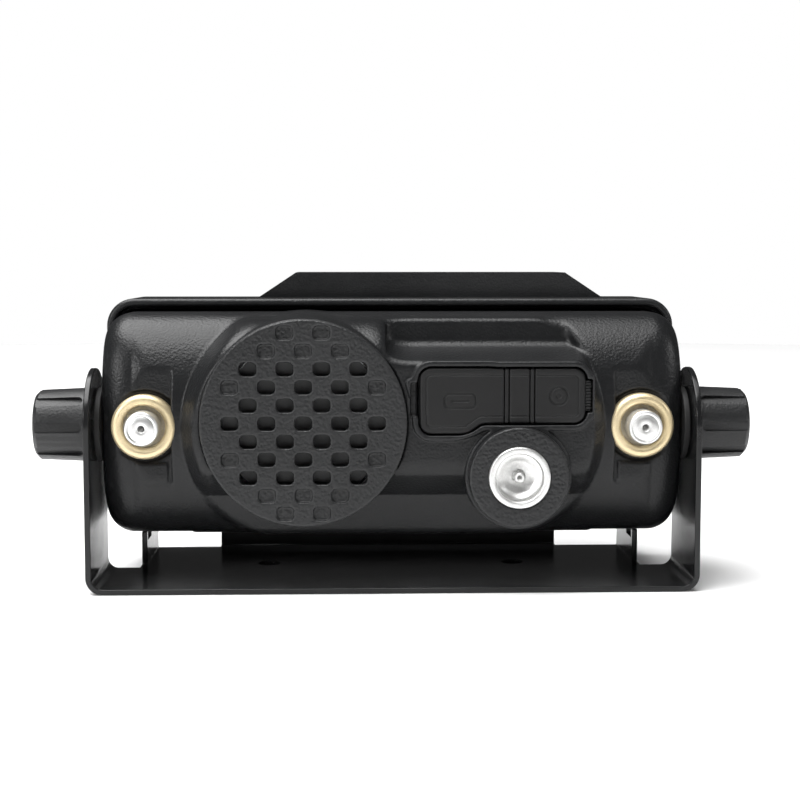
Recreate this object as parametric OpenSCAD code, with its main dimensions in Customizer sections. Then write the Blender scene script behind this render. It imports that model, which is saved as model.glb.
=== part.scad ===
// Mobile transceiver in a U-shaped mounting bracket, millimetres.
// X runs across the radio, Y from the connector side to the display side, Z up.
// The origin is under the middle of the object, on the face the bracket rests on.

/* [Bracket] */
// Width over the outside of the two legs
bracket_w = 114.4; // [114:0.1:116]
// Thickness of the bracket's sheet steel
sheet_t = 1.1; // [0.8:0.1:1.2]
// Depth of the strap that forms the legs and the front of the base
strap_d = 21.4; // [18:0.2:22]
// Outside width of the tray behind the strap
tray_w = 100; // [90:1:104]
// Depth of the tray's side walls
tray_wall_d = 18.6; // [12:0.2:19]
// Height of the tray's side walls
tray_wall_h = 7.6; // [4:0.1:8]
// Width of the low wall across the tray's far edge
lip_w = 71.6; // [50:0.2:80]
// Height of the low wall across the tray's far edge
lip_h = 6.1; // [3:0.1:7]
// Distance between the two bracket screw holes
screw_spacing = 49; // [40:1:60]
// Diameter of the bracket screw holes
screw_hole_d = 4.4; // [3:0.1:5]

/* [Body] */
// Half width of the rear housing
rear_half_w = 54.7; // [54:0.1:55]
// Half height of the rear housing
rear_half_h = 21.1; // [20.6:0.1:21.4]
// How far the rear housing's back curves out
barrel_d = 12; // [10:0.2:13]
// Width of the front housing
front_w = 111.2; // [110:0.1:111.4]
// Height of the front housing's top above the base
front_top = 54.4; // [53.8:0.1:55]
// Height of the front housing's underside above the base
front_bottom = 8.8; // [8.6:0.1:9.2]
// Wall thickness of both housings
wall_t = 2.2; // [1.8:0.1:2.4]
// Height of the display hood's top above the base
hood_top = 59.4; // [57:0.1:62]

/* [Connectors] */
// Distance from the middle of the radio to each antenna jack
antenna_x = 46.3; // [46:0.1:46.8]
// Outside diameter of the antenna jack's thread
antenna_thread_d = 6.35; // [6:0.05:6.6]
// Diameter of the gold ring around each antenna jack
antenna_ring_d = 12.1; // [11.5:0.1:12.4]
// Diameter of the power connector's boss
power_boss_d = 18.4; // [17:0.1:18.8]
// Diameter of the power connector's metal shell
power_shell_d = 11.4; // [10.4:0.1:12]

/* [Speaker] */
// Diameter of the speaker grille
grille_d = 37.8; // [36:0.1:38]
// Distance between neighbouring grille holes in a row
grille_pitch = 6.72; // [6.4:0.02:6.8]

/* [Controls] */
// Diameter of the thumb knobs at the bracket
thumb_knob_d = 14; // [12:0.2:16]
// Distance from the bracket's leg to a thumb knob's outer face
thumb_knob_l = 10.1; // [8:0.1:12]
// Diameter of the volume knob
volume_knob_d = 15; // [12:0.5:16]
// Diameter of the channel knob
channel_knob_d = 12; // [10:0.5:13]
// Travel of the keys
key_travel = 0.5; // [0.2:0.05:0.5]

/* [Hidden] */
$fn = 64;

gap = 0.3;
fit = 0.05;
cut = 1;

// Bracket
leg_out = bracket_w / 2;
leg_in = leg_out - sheet_t;
axis_y = -11;
axis_z = 30.8;
strap_near = axis_y - strap_d / 2;
strap_far = axis_y + strap_d / 2;
bend_r = 3.2;
tray_far = strap_far + 22.2;
lip_far = tray_far + 3.2;
notch_w = 5.3;
notch_h = 1.8;
screw_hole_y = 3.4;
stud_r = 2.5;
stud_hole_r = 2.8;
stud_in = 51.3;
insert_in = 51.2;
insert_r = 3.6;
stud_grip = 6;
washer_r = 7;
tip_chamfer = 0.8;

// Rear housing
barrel_y = -7.7;
barrel_back = barrel_y - barrel_d;
seam_y = -1.4;
corner_r = 5.3;
side_round = 6;
tongue_l = 7;
face_y = -23.2;
face_half_w = 36;
face_top = 43.2;
face_bottom = 23.3;
shelf_z = 45.4;
shelf_y = -14.6;
notch_z = 49.8;
plateau_r = 24.4;
plateau_x = 14.9;

// Front housing
front_y = 18.3;
front_mid_z = (front_top + front_bottom) / 2;
front_h = front_top - front_bottom;
front_corner_r = 5.4;
panel_back = front_y - wall_t;

// Antenna jacks
antenna_z = 31.1;
pocket_w = 10;
pocket_h = 22;
pocket_y = -17.9;
pad_back = pocket_y + 2;
pad_h = 18;
antenna_end_y = -23.5;
antenna_r = antenna_thread_d / 2;
antenna_flange_r = 3.9;
antenna_back = pad_back + 3;
nut_r = 4.4;
ring_seat_r = antenna_ring_d / 2 + 0.25;

// Speaker
speaker_x = -16.7;
speaker_z = 32.1;
holder_r = grille_d / 2 + 1.1;
holder_y = -23.9;
grille_back = -22.4;
grille_front = -24.2;
speaker_bore_r = 17.2;
row_pitch = 3.32;
hole_w = 3.18;
hole_h = 2.54;
hole_r = 0.9;
blind_depth = 0.9;
driver_r = 17;
driver_open_r = 15.4;
speaker_gasket_t = 0.8;
OPEN_ROWS = [[3, 4], [2, 3], [1, 4], [0, 5], [-1, 4], [-2, 3], [-3, 4]];
BLIND_ROWS = [[5, 2], [4, 3], [-4, 3], [-5, 2]];

// Port flaps
flap_left = 4.6;
flap_right = 35.2;
flap_top = 42.1;
flap_low = 30;
flap_high_low = 31.9;
step_x = 14.1;
hinge_usb_x = 20.6;
hinge_audio_x = 25.3;
flap_r = 2.2;
recess_y = -21.1;
flap_face_y = -23.3;
usb_x = 12.1;
usb_z = 36.1;
audio_x = 30.2;
audio_z = 37;
audio_r = 2.6;
audio_bore_r = 1.78;
hinge_gap = 0.15;
plug_depth = 0.9;
socket_y = recess_y + 1.3;

// Power connector
power_x = 22.8;
power_z = 22.2;
power_face_y = -25.7;
power_end_y = -26.2;
power_boss_r = power_boss_d / 2;
power_shell_r = power_shell_d / 2;
power_bore_r = 4.4;
power_pin_r = 0.9;
power_stem_r = 1.2;
power_dish = 2.4;

// Front panel
display_x = 8.2;
display_z = 38.4;
window_w = 58;
window_h = 26;
hood_base_w = 69.5;
hood_top_w = 54.4;
hood_back = 8;
hood_front = 26.2;
hood_t = 1.6;
hood_sink = 1;
key_w = 11;
key_h = 5;
key_z = 17;
key_step = 14;
key_face_y = front_y + 0.9;
key_flange_y = panel_back - gap - 1;
call_x = 47;
call_z = 41;
call_r = 3.6;
knob_x = -40;
volume_z = 41.5;
channel_z = 20.5;
knob_base_y = front_y + 0.4;
volume_knob_end = 26.2;
channel_knob_end = 25.2;
shaft_r = 3;
bushing_r = 3.6;
mic_x = 47;
mic_z = 19.5;
mic_r = 6;
mic_body_r = 5.2;
mic_bore_r = 4.6;
mic_end_y = front_y + 1.4;
lens_x = 47;
lens_z = 50;
lens_r = 1.2;
screw_x = 44;
screw_y = 3;
case_screw_r = 1.25;
case_screw_l = 4.6;
board_y = 0.2;
board_t = 1.6;
chassis_y = board_y + board_t + 2;
chassis_t = 2;
POST_X = [-28, 39.8];
POST_Z = [16.5, 45];
post_r = 2.4;
post_hole_r = 1;

// A flat rounded rectangle about the origin, with true arcs at its corners.
module round_rect(w, h, r) {
    square([w - 2 * r, h], center = true);
    square([w, h - 2 * r], center = true);
    for (sx = [-1, 1], sz = [-1, 1])
        translate([sx * (w / 2 - r), sz * (h / 2 - r)])
            circle(r);
}

// Stands a flat XZ outline up and gives it depth from y0 to y1.
module along_y(y0, y1) {
    translate([0, y1, 0])
        rotate([90, 0, 0])
            linear_extrude(y1 - y0)
                children();
}

// Lays a flat YZ outline across X from x0 to x1.
module along_x(x0, x1) {
    translate([x0, 0, 0])
        rotate([90, 0, 90])
            linear_extrude(x1 - x0)
                children();
}

module y_cylinder(x, z, y0, y1, r) {
    translate([x, y1, z])
        rotate([90, 0, 0])
            cylinder(r = r, h = y1 - y0);
}

module x_cylinder(x0, x1, r) {
    translate([x0, axis_y, axis_z])
        rotate([0, 90, 0])
            cylinder(r = r, h = x1 - x0);
}

// The curved back of a shell: a stack of rounded outlines under an elliptic profile.
module barrel(depth, half_h, half_w) {
    steps = 7;
    hull()
        for (i = [0:steps]) {
            angle = 88 * i / steps;
            d = depth * sin(angle);
            h = half_h * cos(angle);
            over = max(0, d - (depth - side_round));
            w = half_w - side_round + sqrt(side_round * side_round - over * over);
            r = min(corner_r, h - 0.05);
            translate([0, 0, axis_z])
                along_y(barrel_y - d, barrel_y - d + 0.02)
                    round_rect(2 * w, 2 * h, r, $fn = 32);
        }
}

// ---- Bracket -------------------------------------------------------------

// A U whose two lower corners are rounded, seen along Y.
module u_outline(half_w, bottom, r, top) {
    translate([-half_w, bottom + r])
        square([2 * half_w, top - bottom - r]);
    translate([-half_w + r, bottom])
        square([2 * (half_w - r), r + 0.1]);
    for (s = [-1, 1])
        translate([s * (half_w - r), bottom + r])
            circle(r);
}

// The strap of sheet that makes the two legs and the near part of the base.
module strap() {
    along_y(strap_near, strap_far)
        difference() {
            u_outline(leg_out, 0, bend_r, axis_z);
            u_outline(leg_in, sheet_t, bend_r - sheet_t, axis_z + cut);
        }
    for (s = [-1, 1])
        x_cylinder(s > 0 ? leg_in : -leg_out, s > 0 ? leg_out : -leg_in, strap_d / 2);
}

module mounting_bracket() {
    color("#26282b")
        difference() {
            union() {
                strap();
                translate([-tray_w / 2, strap_far - 0.5, 0])
                    cube([tray_w, tray_far - strap_far + 0.5, sheet_t]);
                translate([-lip_w / 2, tray_far - 0.5, 0])
                    cube([lip_w, lip_far - tray_far + 0.5, sheet_t]);
                translate([-lip_w / 2, lip_far - sheet_t, 0])
                    cube([lip_w, sheet_t, lip_h]);
                for (x = [-tray_w / 2, tray_w / 2 - sheet_t])
                    along_x(x, x + sheet_t)
                        tray_wall_outline();
            }
            x_cylinder(-leg_out - cut, leg_out + cut, stud_hole_r);
            for (s = [-1, 1])
                translate([s * screw_spacing / 2, screw_hole_y, -cut])
                    cylinder(d = screw_hole_d, h = sheet_t + 2 * cut);
        }
}

// A tray side wall with its open notch, seen along X.
module tray_wall_outline() {
    notch_y = tray_far - tray_wall_d + 1.4;
    difference() {
        translate([tray_far - tray_wall_d, 0])
            square([tray_wall_d, tray_wall_h]);
        translate([notch_y, tray_wall_h - notch_h])
            square([notch_w, notch_h + cut]);
    }
}

module thumb_knob(s) {
    base_x = leg_out + gap;
    end_x = leg_out + thumb_knob_l;
    r = thumb_knob_d / 2;
    slot_start = base_x + 1.6;
    color("#33363a")
        translate([0, axis_y, axis_z])
            rotate([0, s * 90, 0])
                difference() {
                    union() {
                        translate([0, 0, base_x])
                            cylinder(r1 = r, r2 = r - 0.4, h = end_x - base_x - tip_chamfer);
                        translate([0, 0, end_x - tip_chamfer])
                            cylinder(r1 = r - 0.4, r2 = r - 1.2, h = tip_chamfer);
                    }
                    for (a = [0:45:315])
                        rotate([0, 0, a]) {
                            translate([r - 0.8, -1, slot_start])
                                cube([3, 2, thumb_knob_l]);
                            translate([r - 0.8, 0, slot_start])
                                rotate([0, 90, 0])
                                    cylinder(r = 1, h = 3);
                        }
                    translate([0, 0, base_x - cut])
                        cylinder(r = stud_r, h = stud_grip + cut);
                }
}

module knob_stud(s) {
    color("silver")
        x_cylinder(
            s > 0 ? stud_in : -leg_out - gap - stud_grip,
            s > 0 ? leg_out + gap + stud_grip : -stud_in,
            stud_r
        );
}

module side_washers() {
    color("#1d1e20")
        for (s = [-1, 1])
            difference() {
                x_cylinder(
                    s > 0 ? rear_half_w : -leg_in + gap,
                    s > 0 ? leg_in - gap : -rear_half_w,
                    washer_r
                );
                x_cylinder(-leg_out, leg_out, stud_hole_r);
            }
}

module side_inserts() {
    color("#b08d4a")
        for (s = [-1, 1])
            difference() {
                x_cylinder(s > 0 ? insert_in : -rear_half_w, s > 0 ? rear_half_w : -insert_in, insert_r);
                x_cylinder(-leg_out, leg_out, stud_r + fit);
            }
}

// ---- Housings ------------------------------------------------------------

// The raised panel on the rear housing that carries the speaker and the ports.
module plateau() {
    intersection() {
        along_x(-face_half_w - 4, face_half_w + 4)
            polygon([
                [barrel_y, notch_z], [barrel_y - 5.2, notch_z], [shelf_y, shelf_z], [face_y, face_top],
                [face_y, face_bottom], [-17.7, 18], [-16, 13], [barrel_y, 13],
            ]);
        hull() {
            along_y(barrel_back, barrel_y)
                plateau_outline(0);
            along_y(face_y, face_y + 0.2)
                plateau_outline(3);
        }
    }
}

module plateau_outline(inset) {
    for (s = [-1, 1])
        translate([s * plateau_x, axis_z])
            circle(plateau_r - inset, $fn = 48);
}

// The scooped step above the raised panel.
module plateau_notch() {
    along_x(0, 32.5)
        polygon([
            [barrel_y - 5.2, notch_z], [shelf_y, shelf_z], [face_y, face_top - 0.01], [face_y - cut, notch_z],
        ]);
}

module flap_outline(grow) {
    left = flap_left - grow;
    right = flap_right + grow;
    top = flap_top + grow;
    r = flap_r + grow;
    translate([(left + right) / 2, (top + flap_high_low - grow) / 2])
        round_rect(right - left, top - flap_high_low + grow, r);
    translate([(left + step_x) / 2 + grow / 2, (top + flap_low - grow) / 2])
        round_rect(step_x - left + grow, top - flap_low + grow, r);
}

module rear_housing() {
    color("#2b2d30")
        difference() {
            union() {
                difference() {
                    barrel(barrel_d, rear_half_h, rear_half_w);
                    plateau_notch();
                }
                translate([0, 0, axis_z])
                    along_y(barrel_y, seam_y)
                        round_rect(2 * rear_half_w, 2 * rear_half_h, corner_r);
                translate([0, 0, axis_z])
                    along_y(seam_y - 1, seam_y + tongue_l)
                        round_rect(2 * rear_half_w - 4, 2 * rear_half_h - 3.4, corner_r - 2);
                plateau();
                y_cylinder(speaker_x, speaker_z, holder_y, barrel_y, holder_r);
                y_cylinder(power_x, power_z, face_y, barrel_y, power_boss_r + 0.6);
            }
            rear_cavity();
            rear_cuts();
        }
    color("#2b2d30")
        antenna_pads();
}

module rear_cavity() {
    barrel(barrel_d - wall_t, rear_half_h - wall_t - 1.4, rear_half_w - wall_t - 1.4);
    translate([0, 0, axis_z])
        along_y(barrel_y - 0.1, seam_y + tongue_l + cut)
            round_rect(2 * rear_half_w - 7.4, 2 * rear_half_h - 7, corner_r - 3.2);
}

module rear_cuts() {
    // Speaker: seat of the grille and bore for the driver.
    y_cylinder(speaker_x, speaker_z, holder_y - cut, grille_back, grille_d / 2 + 0.15);
    y_cylinder(speaker_x, speaker_z, holder_y - cut, barrel_y, speaker_bore_r);
    // Antenna pockets and bores.
    for (s = [-1, 1]) {
        translate([s * antenna_x, 0, antenna_z])
            along_y(barrel_back - cut, pocket_y)
                square([pocket_w, pocket_h], center = true);
        y_cylinder(s * antenna_x, antenna_z, barrel_back - cut, barrel_y, antenna_r + fit);
        x_cylinder(
            s > 0 ? insert_in - cut : -rear_half_w - cut,
            s > 0 ? rear_half_w + cut : -insert_in + cut,
            insert_r
        );
        y_cylinder(s * antenna_x, antenna_z, barrel_back - cut, pocket_y, ring_seat_r);
        y_cylinder(s * antenna_x, antenna_z, pad_back, pad_back + 2.3, nut_r + gap);
    }
    // Port recess with its two sockets and the finger notch.
    along_y(face_y - cut, recess_y)
        flap_outline(gap);
    translate([flap_left - 1.5, face_y - cut, 33.3])
        cube([2, cut + 1.3, 6.2]);
    translate([usb_x, 0, usb_z])
        along_y(recess_y - cut, barrel_y)
            square([8.9, 4.1], center = true);
    y_cylinder(audio_x, audio_z, recess_y - cut, barrel_y, audio_r + 0.9);
    // Power connector bore.
    y_cylinder(power_x, power_z, face_y - cut, barrel_y, power_shell_r);
    // Groove for the gasket, and holes of the case screws.
    gasket_ring(seam_y - 0.5, seam_y + cut);
    case_screw_holes(case_screw_r);
}

// Pads that back the flat floors of the antenna pockets.
module antenna_pads() {
    for (s = [-1, 1])
        translate([s * antenna_x, 0, antenna_z])
            along_y(pocket_y, pad_back)
                difference() {
                    square([pocket_w + 2, pad_h], center = true);
                    circle(antenna_r + fit);
                }
}

module gasket_ring(y0, y1) {
    translate([0, 0, axis_z])
        along_y(y0, y1)
            difference() {
                round_rect(2 * rear_half_w - 1.2, 2 * rear_half_h - 1.2, corner_r - 0.6);
                round_rect(2 * rear_half_w - 3.4, 2 * rear_half_h - 3.2, corner_r - 1.6);
            }
}

module housing_gasket() {
    color("#111111")
        gasket_ring(seam_y - 0.5, seam_y);
}

module case_screw_holes(r) {
    for (sx = [-1, 1])
        translate([sx * screw_x, screw_y, front_bottom - cut])
            cylinder(r = r, h = 8);
}

module front_housing() {
    color("#232527")
        difference() {
            translate([0, 0, front_mid_z])
                along_y(seam_y, front_y)
                    round_rect(front_w, front_h, front_corner_r);
            translate([0, 0, front_mid_z])
                along_y(seam_y - cut, panel_back)
                    round_rect(front_w - 2 * wall_t, front_h - 2 * wall_t, front_corner_r - wall_t);
            front_cuts();
        }
    color("#232527")
        difference() {
            at_posts(post_r, chassis_y + chassis_t, panel_back);
            at_posts(post_hole_r, chassis_y, chassis_y + chassis_t + 4);
        }
}

module front_cuts() {
    // Display: a ledge for the window and an opening behind it.
    translate([display_x, 0, display_z])
        along_y(front_y - 1.2, front_y + cut)
            square([window_w, window_h], center = true);
    translate([display_x, 0, display_z])
        along_y(panel_back - cut, front_y)
            square([window_w - 3, window_h - 3], center = true);
    // Keys.
    for (i = [0:3])
        translate([key_x(i), 0, key_z])
            along_y(panel_back - cut, front_y + cut)
                round_rect(key_w + 2 * gap, key_h + 2 * gap, 1.3);
    y_cylinder(call_x, call_z, panel_back - cut, front_y + cut, call_r + gap);
    // Bushings of the two encoders, microphone socket and status lens.
    for (z = [volume_z, channel_z])
        y_cylinder(knob_x, z, panel_back - cut, front_y + cut, bushing_r);
    y_cylinder(mic_x, mic_z, panel_back - cut, front_y + cut, mic_r);
    y_cylinder(lens_x, lens_z, panel_back - cut, front_y + cut, lens_r);
    case_screw_holes(case_screw_r);
    for (sx = [-1, 1])
        translate([sx * screw_x, screw_y, front_bottom - cut])
            cylinder(r = 2.6, h = cut + 1.2);
    // Slot that takes the hood's foot.
    translate([display_x, 0, front_top])
        translate([-hood_base_w / 2 + 4, hood_back + 2, -hood_sink])
            cube([hood_base_w - 8, 4, cut + hood_sink]);
}

function key_x(i) = display_x + (i - 1.5) * key_step;

// A trapezoid; the hollow one starts a little lower, so that it stays open underneath.
module hood_outline(shrink) {
    base = hood_base_w / 2 - 1.5 * shrink;
    top = hood_top_w / 2 - 0.8 * shrink;
    foot = front_top - (shrink > 0 ? cut : 0);
    polygon([
        [display_x - base, foot], [display_x + base, foot],
        [display_x + top, hood_top - shrink], [display_x - top, hood_top - shrink],
    ]);
}

module display_hood() {
    foot_z = front_top - hood_sink;
    color("#1f2123")
        union() {
            difference() {
                along_y(hood_back, hood_front)
                    hood_outline(0);
                along_y(hood_back + 3, hood_front + cut)
                    hood_outline(hood_t);
            }
            translate([display_x - hood_base_w / 2 + 4, hood_back + 2, foot_z])
                cube([hood_base_w - 8, 4, hood_sink + 0.5]);
        }
}

module display_window() {
    color("#101418")
        translate([display_x, 0, display_z])
            along_y(front_y - 1.2, front_y)
                square([window_w, window_h], center = true);
}

module lcd_module() {
    color("#5a6468")
        translate([display_x, 0, display_z])
            along_y(panel_back - 4.5, panel_back - 0.2)
                square([window_w, window_h + 1], center = true);
}

// ---- Speaker -------------------------------------------------------------

module grille_holes(rows, y0, y1) {
    for (row = rows)
        for (i = [0:row[1] - 1])
            translate([speaker_x + (i - (row[1] - 1) / 2) * grille_pitch, 0, speaker_z + row[0] * row_pitch])
                along_y(y0, y1)
                    round_rect(hole_w, hole_h, hole_r);
}

module speaker_grille() {
    color("#3a3c3f")
        difference() {
            y_cylinder(speaker_x, speaker_z, grille_front, grille_back, grille_d / 2);
            grille_holes(OPEN_ROWS, grille_front - cut, grille_back + cut);
            grille_holes(BLIND_ROWS, grille_front - cut, grille_front + blind_depth);
            side_blind_holes();
        }
}

// The blind holes at both ends of the three-hole rows.
module side_blind_holes() {
    for (s = [-1, 1], row = [-2, 2])
        translate([speaker_x + s * 2 * grille_pitch, 0, speaker_z + row * row_pitch])
            along_y(grille_front - cut, grille_front + blind_depth)
                round_rect(hole_w, hole_h, hole_r);
}

module speaker_gasket() {
    far = grille_back + speaker_gasket_t;
    color("#161616")
        difference() {
            y_cylinder(speaker_x, speaker_z, grille_back, far, driver_r);
            y_cylinder(speaker_x, speaker_z, grille_back - cut, far + cut, driver_open_r);
        }
}

module speaker_basket() {
    front = grille_back + speaker_gasket_t;
    color("#8a8d90")
        difference() {
            union() {
                y_cylinder(speaker_x, speaker_z, front, front + 2, driver_r);
                y_cylinder(speaker_x, speaker_z, front + 2, front + 5, 12);
                y_cylinder(speaker_x, speaker_z, front + 5, front + 9.5, 9.5);
            }
            y_cylinder(speaker_x, speaker_z, front - cut, front + 1.4, driver_open_r);
            y_cylinder(speaker_x, speaker_z, front - cut, front + 4.2, 10);
        }
}

module speaker_cone() {
    front = grille_back + 0.9;
    color("#202020")
        translate([speaker_x, front + 1.2, speaker_z])
            rotate([90, 0, 0])
                difference() {
                    cylinder(r1 = 14.6, r2 = 15.2, h = 1);
                    translate([0, 0, 0.5])
                        cylinder(r1 = 6, r2 = 13, h = 1);
                }
}

// ---- Ports ---------------------------------------------------------------

module flap_slice(x0, x1) {
    intersection() {
        along_y(flap_face_y, recess_y - 0.3)
            flap_outline(0);
        translate([x0, -30, 20])
            cube([x1 - x0, 20, 30]);
    }
}

module port_strap() {
    color("#191a1c")
        union() {
            flap_slice(hinge_usb_x + hinge_gap, hinge_audio_x - hinge_gap);
            translate([(hinge_usb_x + hinge_audio_x) / 2 - 1.5, recess_y - 0.4, 35.5])
                cube([3, 0.4, 3]);
        }
}

module usb_flap() {
    color("#191a1c")
        union() {
            flap_slice(flap_left - 1, hinge_usb_x - hinge_gap);
            translate([usb_x, 0, usb_z])
                along_y(recess_y - 0.4, recess_y + plug_depth)
                    square([7.8, 3], center = true);
        }
}

module audio_flap() {
    color("#191a1c")
        union() {
            flap_slice(hinge_audio_x + hinge_gap, flap_right + 1);
            y_cylinder(audio_x, audio_z, recess_y - 0.4, recess_y + plug_depth, audio_r);
        }
}

module usb_socket() {
    color("#9a9da0")
        translate([usb_x, 0, usb_z])
            difference() {
                along_y(socket_y, recess_y + 7)
                    square([7.6, 2.9], center = true);
                along_y(recess_y + 1, recess_y + 6)
                    square([6.9, 2.2], center = true);
            }
}

module audio_socket() {
    color("#1c1c1c")
        difference() {
            y_cylinder(audio_x, audio_z, socket_y, recess_y + 10, audio_r + 0.9);
            y_cylinder(audio_x, audio_z, recess_y, recess_y + 9, audio_bore_r);
        }
}

// ---- Antenna jacks -------------------------------------------------------

module antenna_jack(s) {
    color("#d8dadc")
        difference() {
            union() {
                y_cylinder(s * antenna_x, antenna_z, antenna_end_y, antenna_back, antenna_r);
                y_cylinder(s * antenna_x, antenna_z, pocket_y - 0.6, pocket_y, antenna_flange_r);
            }
            y_cylinder(s * antenna_x, antenna_z, antenna_end_y - cut, antenna_end_y + 2.5, 0.65);
        }
}

module antenna_rings() {
    tube_r = (antenna_ring_d / 2 - antenna_flange_r) / 2;
    mid_r = antenna_ring_d / 2 - tube_r;
    color("#cdb67c")
        for (s = [-1, 1])
            translate([s * antenna_x, pocket_y, antenna_z])
                rotate([90, 0, 0])
                    rotate_extrude() {
                        translate([mid_r, tube_r])
                            circle(tube_r);
                        translate([antenna_flange_r, 0])
                            square([2 * tube_r, tube_r]);
                    }
}

module antenna_nuts() {
    color("#b9bcc0")
        for (s = [-1, 1])
            difference() {
                y_cylinder(s * antenna_x, antenna_z, pad_back, pad_back + 2, nut_r);
                y_cylinder(s * antenna_x, antenna_z, barrel_back, barrel_y, antenna_r);
            }
}

// ---- Power connector -----------------------------------------------------

module power_boss() {
    color("#303235")
        difference() {
            y_cylinder(power_x, power_z, power_face_y, face_y, power_boss_r);
            y_cylinder(power_x, power_z, power_face_y - cut, face_y + cut, power_shell_r);
        }
}

module power_shell() {
    color("#e2e4e6")
        difference() {
            y_cylinder(power_x, power_z, power_end_y, barrel_y - 2, power_shell_r);
            y_cylinder(power_x, power_z, power_end_y - cut, barrel_y - 4, power_bore_r);
        }
}

module power_insulator() {
    color("#d0d3d6")
        difference() {
            y_cylinder(power_x, power_z, power_end_y + power_dish, barrel_y - 4, power_bore_r);
            y_cylinder(power_x, power_z, power_end_y, barrel_y, power_stem_r);
        }
}

// A contact pin on a thicker stem that fills the insulator's bore.
module power_pin() {
    color("#e2e4e6")
        difference() {
            union() {
                y_cylinder(power_x, power_z, power_end_y + 0.4, barrel_y - 4, power_pin_r);
                y_cylinder(power_x, power_z, power_end_y + power_dish, barrel_y - 4, power_stem_r);
            }
            y_cylinder(power_x, power_z, power_end_y, power_end_y + 1.4, 0.5);
        }
}

// ---- Inside --------------------------------------------------------------

// The same round feature at each of the four posts that carry the boards.
module at_posts(r, y0, y1) {
    for (x = POST_X, z = POST_Z)
        y_cylinder(x, z, y0, y1, r);
}

module main_board() {
    color("#1f5a3a")
        difference() {
            translate([-47, board_y, 14.5])
                cube([94, board_t, 33]);
            at_posts(post_hole_r, board_y - cut, board_y + board_t + cut);
        }
}

module rf_shield() {
    color("#b8babc")
        difference() {
            translate([6, board_y - 3, 20])
                cube([30, 3, 24]);
            translate([6.4, board_y - 2.6, 20.4])
                cube([29.2, 3.6, 23.2]);
        }
}

module chassis_plate() {
    color("#8f9295")
        difference() {
            union() {
                translate([-48, chassis_y, 13.7])
                    cube([96, chassis_t, 34.2]);
                at_posts(post_r, board_y + board_t, chassis_y + cut);
            }
            at_posts(post_hole_r, board_y, chassis_y + chassis_t + cut);
        }
}

module board_screws() {
    color("silver") {
        at_posts(post_hole_r, board_y, chassis_y + chassis_t + 3);
        at_posts(2.2, board_y - 1, board_y);
    }
}

module case_screws() {
    color("#3a3a3a")
        for (sx = [-1, 1])
            translate([sx * screw_x, screw_y, front_bottom + 0.1]) {
                cylinder(r = 2.3, h = 1.1);
                cylinder(r = case_screw_r, h = case_screw_l);
            }
}

// ---- Front controls ------------------------------------------------------

module key_board() {
    back = key_flange_y - gap - key_travel - 1.2;
    color("#1f5a3a")
        difference() {
            union() {
                translate([-20, back, 12])
                    cube([73, 1.2, 10]);
                translate([42.6, back, 21])
                    cube([10.4, 1.2, 25]);
            }
            y_cylinder(mic_x, mic_z, back - cut, back + 2, mic_r + gap);
            at_posts(post_r + gap, back - cut, back + 2);
        }
}

module panel_key(i) {
    color("#3b3e42")
        translate([key_x(i), 0, key_z]) {
            along_y(key_flange_y, key_face_y)
                round_rect(key_w, key_h, 1);
            along_y(key_flange_y, key_flange_y + 1)
                square([key_w + 1.6, key_h + 1.6], center = true);
        }
}

module call_key() {
    color("#b5521e") {
        y_cylinder(call_x, call_z, key_flange_y, key_face_y, call_r);
        y_cylinder(call_x, call_z, key_flange_y, key_flange_y + 1, call_r + 0.8);
    }
}

module dial(z, r, end_y) {
    flutes = 18;
    color("#2a2c2f")
        translate([knob_x, 0, z])
            difference() {
                y_cylinder(0, 0, knob_base_y, end_y, r);
                for (a = [0:360 / flutes:359])
                    rotate([0, a, 0])
                        y_cylinder(r + 0.35, 0, knob_base_y + 1.2, end_y + cut, 0.7);
                y_cylinder(0, 0, knob_base_y - cut, end_y - 1.5, shaft_r);
            }
}

module dial_shaft(z, end_y) {
    color("silver")
        y_cylinder(knob_x, z, panel_back - 4, end_y - 1.5, shaft_r);
}

module dial_encoder(z) {
    color("#4a5a4a")
        difference() {
            union() {
                translate([knob_x - 5.5, panel_back - 7, z - 5.5])
                    cube([11, 6.8, 11]);
                y_cylinder(knob_x, z, panel_back - 1, front_y, bushing_r);
            }
            y_cylinder(knob_x, z, panel_back - 4.2, front_y + cut, shaft_r + fit);
        }
}

module mic_socket() {
    floor_y = panel_back - 4;
    color("#a7aaad")
        difference() {
            union() {
                y_cylinder(mic_x, mic_z, panel_back - 6, panel_back + 0.1, mic_body_r);
                y_cylinder(mic_x, mic_z, panel_back, front_y + 1, mic_r);
                y_cylinder(mic_x, mic_z, front_y, mic_end_y, mic_r + 1);
            }
            y_cylinder(mic_x, mic_z, floor_y, mic_end_y + cut, mic_bore_r);
            translate([mic_x, 0, mic_z])
                for (a = [0:60:300])
                    rotate([0, a, 0])
                        y_cylinder(2.6, 0, floor_y - 1.5, floor_y + cut, 0.5);
        }
}

module status_lens() {
    color("#86c98a")
        y_cylinder(lens_x, lens_z, panel_back - 1, front_y + 0.4, lens_r);
}

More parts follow.
